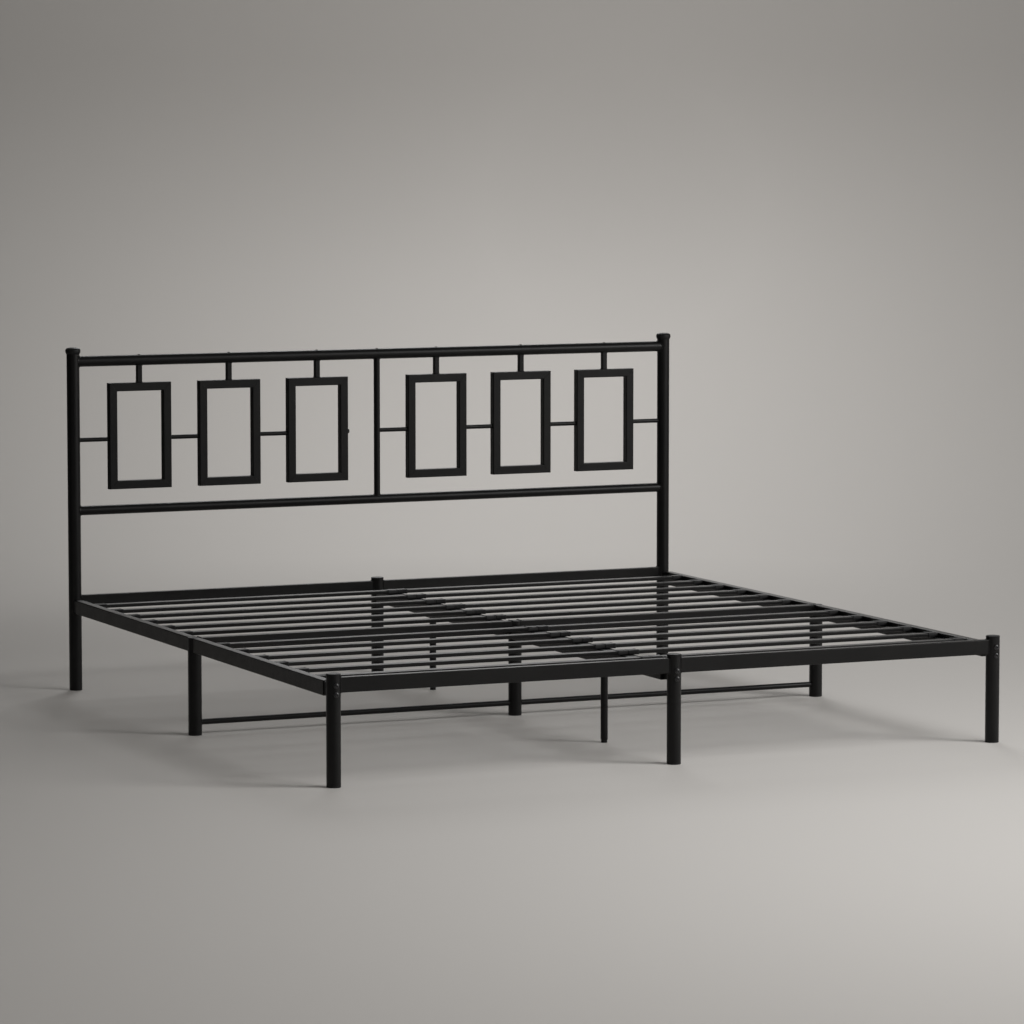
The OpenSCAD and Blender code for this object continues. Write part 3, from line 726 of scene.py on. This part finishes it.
def button_screw(mesh, face, axis, radius, head_radius, length, threaded, pitch):
    """Button-head screw whose head's outer face is at face, its shank pointing along axis."""
    place = standing_on(face, axis)
    head_height = head_height_of(radius)
    flats = 1.2 * radius
    socket = six_sided(flats)
    corner = flats / math.sqrt(3)
    dome = 2 * head_radius
    crown = dome - math.sqrt(dome ** 2 - head_radius ** 2)
    rings = [ring_at(place, 0.6 * head_height, socket), ring_at(place, 0.08 * head_height, socket),
             ring_at(place, 0.0, plain(corner * 1.12))]
    for share in (0.55, 0.7, 0.84, 0.94, 1.0):
        height = dome - math.sqrt(dome ** 2 - (share * head_radius) ** 2)
        rings.append(ring_at(place, height, plain(share * head_radius)))
    rings += [ring_at(place, max(head_height - FINE_EDGE, crown), plain(head_radius)),
              ring_at(place, head_height, plain(head_radius - FINE_EDGE)),
              ring_at(place, head_height, plain(radius + 0.2 * MM)),
              ring_at(place, head_height + FINE_EDGE, plain(radius))]
    end = head_height + length
    rings.append(ring_at(place, end - threaded - 0.2 * MM, plain(radius)))
    rings += thread_rings(place, end - threaded, end - 0.5 * MM, radius, pitch)
    rings.append(ring_at(place, end, plain(radius * 0.72)))
    loft(mesh, rings)


def hex_nut(mesh, face, axis, flats, height, bore):
    """Hexagon nut, both faces chamfered, standing on face."""
    place = standing_on(face, axis)
    edge, mouth = plain(flats / 2 * 0.96), plain(bore + 0.4 * MM)

    def body(turn):
        return min(six_sided(flats)(turn), flats / 2 * 1.10)
    rings = [ring_at(place, 0, mouth), ring_at(place, 0, edge),
             ring_at(place, 0.09 * height, body), ring_at(place, 0.91 * height, body),
             ring_at(place, height, edge), ring_at(place, height, mouth),
             ring_at(place, height - 0.5 * MM, plain(bore)), ring_at(place, 0.5 * MM, plain(bore))]
    loft(mesh, rings, wrap=True)


oxide = black_oxide()
zinc = zinc_plate()
bolt_radius, bolt_pitch, bolt_thread = 4 * MM, 1.25 * MM, 24 * MM
nut_bore = bolt_radius + 0.2 * MM

bolts = bmesh.new()
for low, high in solids_in("leg_bolts"):
    way = 1 if low.y < 0 else -1
    face = Vector(((low.x + high.x) / 2, low.y if way > 0 else high.y, (low.z + high.z) / 2))
    head = (high.x - low.x) / 2
    length = high.y - low.y - head_height_of(bolt_radius)
    button_screw(bolts, face, way * Y, bolt_radius, head, length, bolt_thread, bolt_pitch)
piece = make_piece("leg_bolts_socket_head", bolts, oxide, sharp=40)
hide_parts("leg_bolts")

nuts = bmesh.new()
for low, high in solids_in("leg_nuts"):
    face = Vector(((low.x + high.x) / 2, low.y, (low.z + high.z) / 2))
    flats = min(high.x - low.x, high.z - low.z)
    hex_nut(nuts, face, Y, flats, high.y - low.y, nut_bore)
piece = make_piece("leg_nuts_hexagon", nuts, zinc, sharp=25)
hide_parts("leg_nuts")

# ---------- screws of the trestle joints ----------
# M6 button-head screws with the same socket hold the rail halves and the beam halves to the
# tongues of the trestle: from inside the bed on the rails, and from below on the beam.

M6_RADIUS, M6_PITCH = 3 * MM, 1.0 * MM
M6_THREADED = 0.7  # share of the shank


def m6_screw(mesh, low, high):
    """M6 screw whose box is given. It points up, or outward where it is longer across the bed."""
    middle, size = (low + high) / 2, high - low
    if size.z > size.x:
        face, axis, head, reach = Vector((middle.x, middle.y, low.z)), Z, size.x / 2, size.z
    elif middle.x > 0:
        face, axis, head, reach = Vector((low.x, middle.y, middle.z)), X, size.y / 2, size.x
    else:
        face, axis, head, reach = Vector((high.x, middle.y, middle.z)), -X, size.y / 2, size.x
    length = reach - head_height_of(M6_RADIUS)
    button_screw(mesh, face, axis, M6_RADIUS, head, length, M6_THREADED * length, M6_PITCH)


for node in ("tongue_screws", "support_leg_screws"):
    screws = bmesh.new()
    for low, high in solids_in(node):
        m6_screw(screws, low, high)
    piece = make_piece(node + "_socket_head", screws, oxide, sharp=40)
    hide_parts(node)

# ---------- levelling feet ----------
# In the lower end of each thin leg sits a knurled steel plug with an M10 thread. The foot that
# screws into it is a zinc-plated stem moulded into a plastic pad with six finger flats, and
# turning it brings the pad down to the floor.

STEM_RADIUS, STEM_PITCH = 5 * MM, 1.5 * MM
STEM_STEPS = 36
THREAD_PLAY, MOUTH = 0.3 * MM, 0.8 * MM
KNURL_TEETH, KNURL_DEPTH = 36, 0.35 * MM
KNURL_STEPS = KNURL_TEETH * 4
PAD_HEIGHT = 8 * MM
FLATS_SHARE = 0.93  # distance across the finger flats, as a share of the pad's width


def knurled_plug(mesh, low, high):
    """Threaded plug whose box is given: a plain collar, then a knurl that grips the tube."""
    place = Matrix.Translation(((low.x + high.x) / 2, (low.y + high.y) / 2, 0))
    outer = (high.x - low.x) / 2
    bore = plain(STEM_RADIUS + THREAD_PLAY)
    mouth = plain(STEM_RADIUS + THREAD_PLAY + MOUTH)
    collar, chamfer = plain(outer - 0.3 * MM), plain(outer - 0.9 * MM)

    def knurl(turn):
        return outer - KNURL_DEPTH * (0.5 + 0.5 * math.cos(KNURL_TEETH * turn))
    profile = [(low.z, mouth), (low.z, chamfer), (low.z + 0.6 * MM, collar),
               (low.z + 4 * MM, collar), (low.z + 4.4 * MM, knurl), (high.z - 1 * MM, knurl),
               (high.z, chamfer), (high.z, mouth), (high.z - MOUTH, bore), (low.z + MOUTH, bore)]
    rings = [ring_at(place, height, reach, KNURL_STEPS) for height, reach in profile]
    loft(mesh, rings, wrap=True)


def levelling_pad(mesh, place, radius):
    """Pad that stands on the origin of place: a hollowed sole, six finger flats and a flat top."""

    def finger_flats(turn):
        return min(radius, six_sided(2 * radius * FLATS_SHARE)(turn))
    profile = [(0.6 * MM, plain(radius * 0.50)), (0.6 * MM, plain(radius * 0.56)),
               (0.0, plain(radius * 0.62)), (0.0, plain(radius * 0.84)),
               (0.5 * MM, plain(radius * 0.95)), (1.4 * MM, plain(radius)),
               (2.4 * MM, plain(radius)), (3.0 * MM, finger_flats),
               (PAD_HEIGHT - 1.0 * MM, finger_flats), (PAD_HEIGHT - 0.3 * MM, plain(radius * 0.84)),
               (PAD_HEIGHT, plain(radius * 0.74)), (PAD_HEIGHT, plain(STEM_RADIUS + 0.3 * MM))]
    loft(mesh, [ring_at(place, height, reach, TURN_STEPS) for height, reach in profile])


def threaded_stem(mesh, place, top):
    """Stem moulded into the pad that stands on the origin of place, threaded up to its top."""
    rings = [ring_at(place, 2 * MM, plain(STEM_RADIUS * 0.8), STEM_STEPS),
             ring_at(place, PAD_HEIGHT - 0.5 * MM, plain(STEM_RADIUS * 0.82), STEM_STEPS)]
    rings += thread_rings(place, PAD_HEIGHT, top - 1 * MM, STEM_RADIUS, STEM_PITCH, STEM_STEPS)
    rings.append(ring_at(place, top, plain(STEM_RADIUS * 0.7), STEM_STEPS))
    loft(mesh, rings)


plugs = bmesh.new()
for low, high in solids_in("leveller_plugs"):
    knurled_plug(plugs, low, high)
piece = make_piece("leveller_plugs_knurled", plugs, zinc)
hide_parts("leveller_plugs")

for end in ("foot", "head"):
    node, body = "leveller_" + end + "_end", end + "_leveller"
    low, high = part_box(node)
    place = Matrix.Translation(((low.x + high.x) / 2, (low.y + high.y) / 2, low.z))
    pad = bmesh.new()
    levelling_pad(pad, place, (high.x - low.x) / 2)
    piece = make_piece("leveller_pad_" + end, pad, plastic, body)
    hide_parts(node)
    stem = bmesh.new()
    threaded_stem(stem, place, high.z - low.z)
    make_piece("leveller_stem_" + end, stem, zinc, body, sharp=30)

# ---------- slats ----------
# Flat box tubes of thin steel lie across the bed from the ledges to the center beam, twelve on
# each side. They are coated like the rest, and only their plastic caps touch the ledges and beam.

coat("slats_left", "slats_right")

# ---------- slat caps ----------
# Both ends of each slat sit in a moulded holder: a pocket with a thick rolled mouth, and a split
# barbed peg below that snaps into a hole of the ledge or of the beam.

PEG_STEPS = 14
PEG_LENGTH = 8 * MM
# Height above the peg's root, and radius there, both in millimetres.
PEG_LEVELS = [(0.6, 3.7), (-3.0, 3.4), (-3.8, 3.8), (-4.8, 3.8), (-7.4, 2.6), (-8.0, 2.0)]
HALF_SPLIT = 0.7 * MM
BEAM_HOLE_X = 10 * MM
HOLDER_SKIN, POCKET_PLAY = 0.45 * MM, 0.3 * MM
HOLDER_CORNER, POCKET_CORNER = 3.6 * MM, 2.5 * MM
NEAR_BEAM = 5 * MM


def half_peg(mesh, place, side):
    """One leg of a split peg: a half-round finger with a barb, from its root down to its tip."""
    rings = []
    for height, radius in [(h * MM, r * MM) for h, r in PEG_LEVELS]:
        start = math.asin(HALF_SPLIT / radius)
        turns = [start + (math.pi - 2 * start) * k / PEG_STEPS for k in range(PEG_STEPS + 1)]
        ring = [Vector((radius * math.cos(t), side * radius * math.sin(t), height)) for t in turns]
        rings.append([place @ point for point in ring])
    loft(mesh, rings)


def slat_holder(mesh, low, high, slat_low, slat_high):
    """Holder whose CAD box is given, on the end of the slat whose box is given."""
    way = 1 if slat_low.x + slat_high.x > low.x + high.x else -1
    back_x = low.x if way > 0 else high.x
    back = Vector((back_x, (low.y + high.y) / 2, (slat_low.z + slat_high.z) / 2))
    place = Matrix.Translation(back) @ Matrix.Diagonal((way, 1, 1, 1))
    length = high.x - low.x
    across, tall = high.y - low.y, 2 * (high.z - back.z)
    pocket_across = slat_high.y - slat_low.y + POCKET_PLAY
    pocket_tall = slat_high.z - slat_low.z + POCKET_PLAY
    outside = [(0.0, 2.0 * MM), (0.35 * MM, 1.0 * MM), (1.1 * MM, HOLDER_SKIN),
               (length - 5.2 * MM, HOLDER_SKIN), (length - 4.4 * MM, 0.0),
               (length - 0.7 * MM, 0.0), (length, 0.35 * MM)]
    inside = [(length, 0.3 * MM), (length - 0.8 * MM, 0.0), (1.5 * MM, 0.0)]
    rings = []
    for depth, inset in outside:
        section = box_outline(across - 2 * inset, tall - 2 * inset, HOLDER_CORNER - inset)
        rings.append([place @ Vector((depth, a, b)) for a, b in section])
    for depth, flare in inside:
        section = box_outline(pocket_across + 2 * flare, pocket_tall + 2 * flare, POCKET_CORNER)
        rings.append([place @ Vector((depth, a, b)) for a, b in section])
    loft(mesh, rings)


for side, way in [("left", -1), ("right", 1)]:
    slats = solids_in("slats_" + side)
    ledge_x = middle_of("slat_ledges_" + side).x
    holders = bmesh.new()
    for low, high in solids_in("slat_caps_" + side):
        slat = min(slats, key=lambda box: abs(box[0].y + box[1].y - low.y - high.y))
        slat_holder(holders, low, high, *slat)
        on_beam = min(abs(low.x), abs(high.x)) < NEAR_BEAM
        peg_x = way * BEAM_HOLE_X if on_beam else ledge_x
        place = Matrix.Translation((peg_x, (low.y + high.y) / 2, low.z + PEG_LENGTH))
        for half in (-1, 1):
            half_peg(holders, place, half)
    piece = make_piece("slat_holders_" + side, holders, plastic)
    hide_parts("slat_caps_" + side)

# ---------- studio sweep ----------
# Not part of the bed: a seamless sweep of matt paper, a level floor that curves up into a wall all
# round. A pool of light is painted on it behind the bed, with painted shade towards the sides and
# the top, and it shows only from inside, so it hides nothing.

SWEEP_RADIUS = 6.3
SWEEP_CURVE = 1.9
SWEEP_HEIGHT = 6.0
SWEEP_LIFT = 0.5 * MM
SWEEP_SIDES, SWEEP_STEPS = 128, 24
FLOOR_RADIUS, FLOOR_SIDES = 40.0, 96
# Painted light: the paper's colour in the middle of the painted pool of light, and in the painted
# shade at its edge.
PAPER_PAINTED_LIGHT, PAPER_PAINTED_SHADE = (0.590, 0.571, 0.548), (0.370, 0.358, 0.343)
# Middle and reach of the painted pool of light, across the view and upwards.
PAINTED_LIGHT_MIDDLE = Vector((0.41, -0.18, 1.3))
PAINTED_LIGHT_REACH = 2.9
PAINTED_LIGHT_ACROSS = Vector((0.912, -0.411, 0)) / PAINTED_LIGHT_REACH
PAINTED_LIGHT_UP = Z / PAINTED_LIGHT_REACH


def one_sided_paper_with_painted_light():
    """Matt paper with a painted pool of light in its middle and painted shade away from it, that
    shows only from its front.
    """
    finish, shader, place = new_finish("studio_paper_painted_light", specular=0.1)
    shader.inputs["Roughness"].default_value = 0.9
    over = shade_node(finish, "VectorMath", {0: place, 1: PAINTED_LIGHT_MIDDLE}, operation="SUBTRACT")
    ways = []
    for way in (PAINTED_LIGHT_ACROSS, PAINTED_LIGHT_UP):
        inputs = {0: over.outputs["Vector"], 1: way}
        along = shade_node(finish, "VectorMath", inputs, operation="DOT_PRODUCT")
        ways.append(along.outputs["Value"])
    flat = shade_node(finish, "CombineXYZ", {"X": ways[0], "Y": ways[1]})
    far = shade_node(finish, "VectorMath", {0: flat.outputs["Vector"]}, operation="LENGTH")
    distance = far.outputs["Value"]
    # Painted pool of light: the colour goes from lit paper to painted shade away from its middle.
    painted_light_colour = blend_colours(finish, distance, PAPER_PAINTED_LIGHT, PAPER_PAINTED_SHADE, start=0.2, stop=1.0)
    feed(finish, shader, base_color=painted_light_colour)
    behind = shade_node(finish, "NewGeometry").outputs["Backfacing"]
    gone = shade_node(finish, "BsdfTransparent").outputs["BSDF"]
    choice = shade_node(finish, "MixShader", {"Fac": behind})
    finish.node_tree.links.new(shader.outputs["BSDF"], choice.inputs[1])
    finish.node_tree.links.new(gone, choice.inputs[2])
    output = finish.node_tree.nodes["Material Output"]
    finish.node_tree.links.new(choice.outputs["Shader"], output.inputs["Surface"])
    return finish


def stage_piece(name, mesh, finish):
    """Makes a studio object from a mesh."""
    data = bpy.data.meshes.new(name)
    mesh.to_mesh(data)
    mesh.free()
    data.shade_smooth()
    data.materials.append(finish)
    made = bpy.data.objects.new(name, data)
    bpy.context.scene.collection.objects.link(made)
    made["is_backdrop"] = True
    return made


paper = one_sided_paper_with_painted_light()
floor = bmesh.new()
bmesh.ops.create_circle(floor, cap_ends=True, radius=FLOOR_RADIUS, segments=FLOOR_SIDES)
stage_piece("studio_floor", floor, paper)

sweep = bmesh.new()
profile = rounded([(SWEEP_RADIUS - 2 * SWEEP_CURVE, 0, 0), (SWEEP_RADIUS, 0, SWEEP_CURVE),
                   (SWEEP_RADIUS, SWEEP_HEIGHT, 0)], SWEEP_STEPS, closed=False)
turns = [math.tau * k / SWEEP_SIDES for k in range(SWEEP_SIDES)]
rings = []
for radius, height in profile:
    level = height + SWEEP_LIFT
    rings.append([Vector((radius * math.cos(t), radius * math.sin(t), level)) for t in turns])
loft(sweep, rings, caps=False)
bmesh.ops.reverse_faces(sweep, faces=sweep.faces)
wall = stage_piece("studio_sweep", sweep, paper)
wall.visible_shadow = False

# ---------- black flags ----------
# Not part of the bed: black cloths on light frames that stand behind on the left, in front on the
# left and at the left side. Only the gloss of the metal sees them, which darkens the tubes' edges.

FLAG_HEIGHT = 2.3


def black_flag(name, x, y, way, width):
    """Stands a black cloth of the given width on the floor, with its middle at x, y along way."""
    side = Vector(way).normalized() * width / 2
    foot = Vector((x, y, 0))
    flag = bmesh.new()
    edge = [foot - side, foot + side, foot + side + Z * FLAG_HEIGHT, foot - side + Z * FLAG_HEIGHT]
    flag.faces.new([flag.verts.new(corner) for corner in edge])
    panel = stage_piece(name, flag, flag_cloth)
    panel.visible_camera = False
    panel.visible_diffuse = False
    panel.visible_shadow = False


flag_cloth, flag_shader, _ = new_finish("flag_cloth", specular=0.0)
flag_shader.inputs["Base Color"].default_value = (0.01, 0.01, 0.01, 1)
flag_shader.inputs["Roughness"].default_value = 0.9
black_flag("back_flag", -2.6, 4.0, (0.9, 0.43, 0), 3.8)
black_flag("front_flag", -1.9, -3.5, (0.88, -0.47, 0), 4.2)
black_flag("left_flag", -4.0, 0.3, (0, 1, 0), 4.6)

# ---------- lamps and camera ----------
# Not part of the bed: soft lamps in front on the right and left, behind on the right, at the wall
# and over the floor, the last one kept out of the metal's gloss, under a dim sky. The camera stands
# far back on the left with a long lens, and looks a little down.


def soft_lamp(name, place, target, width, height, power, colour=(1, 1, 1), in_gloss=True):
    """Softbox that points at target, and that glossy surfaces mirror unless in_gloss is False."""
    lamp = bpy.data.lights.new(name, "AREA")
    lamp.shape = "RECTANGLE"
    lamp.size, lamp.size_y = width, height
    lamp.energy = power
    lamp.color = colour
    holder = bpy.data.objects.new(name, lamp)
    holder.location = place
    holder.rotation_euler = (Vector(target) - Vector(place)).to_track_quat("-Z", "Y").to_euler()
    holder.visible_camera = False
    holder.visible_glossy = in_gloss
    bpy.context.scene.collection.objects.link(holder)


aim = (cad_low + cad_high) / 2
soft_lamp("key_lamp", (5.4, -5.2, 3.6), aim, 2.4, 2.4, 275, (1.0, 0.99, 0.975))
soft_lamp("fill_lamp", (-5.0, -3.2, 2.6), aim, 2.4, 2.4, 6)
soft_lamp("floor_lamp", (1.5, -3.4, 3.4), (0.7, -2.5, 0.0), 3.0, 1.6, 112, in_gloss=False)
soft_lamp("back_lamp", (2.4, 5.9, 4.1), aim, 2.6, 2.6, 155)
soft_lamp("wall_lamp", (1.3, 2.7, 3.4), (2.4, 5.8, 1.0), 2.2, 1.1, 13)

sky = bpy.data.worlds.new("studio_sky")
sky.use_nodes = True
sky.node_tree.nodes["Background"].inputs["Color"].default_value = (0.46, 0.45, 0.44, 1)
sky.node_tree.nodes["Background"].inputs["Strength"].default_value = 0.25
bpy.context.scene.world = sky
bpy.context.scene.view_settings.view_transform = "Standard"

look_down, look_right = 5.41, 24.26
lens = bpy.data.cameras.new("view")
lens.lens = 158.2
lens.clip_end = 200
viewer = bpy.data.objects.new("view", lens)
viewer.location = (-5.243, -11.613, 1.789)
viewer.rotation_euler = (math.radians(90 - look_down), 0, math.radians(-look_right))
bpy.context.scene.collection.objects.link(viewer)
bpy.context.scene.camera = viewer

# ---------- size of the finished model ----------
# The box of the model with every piece in place. The box that the frame gives was found before
# any piece was added.

low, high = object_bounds()
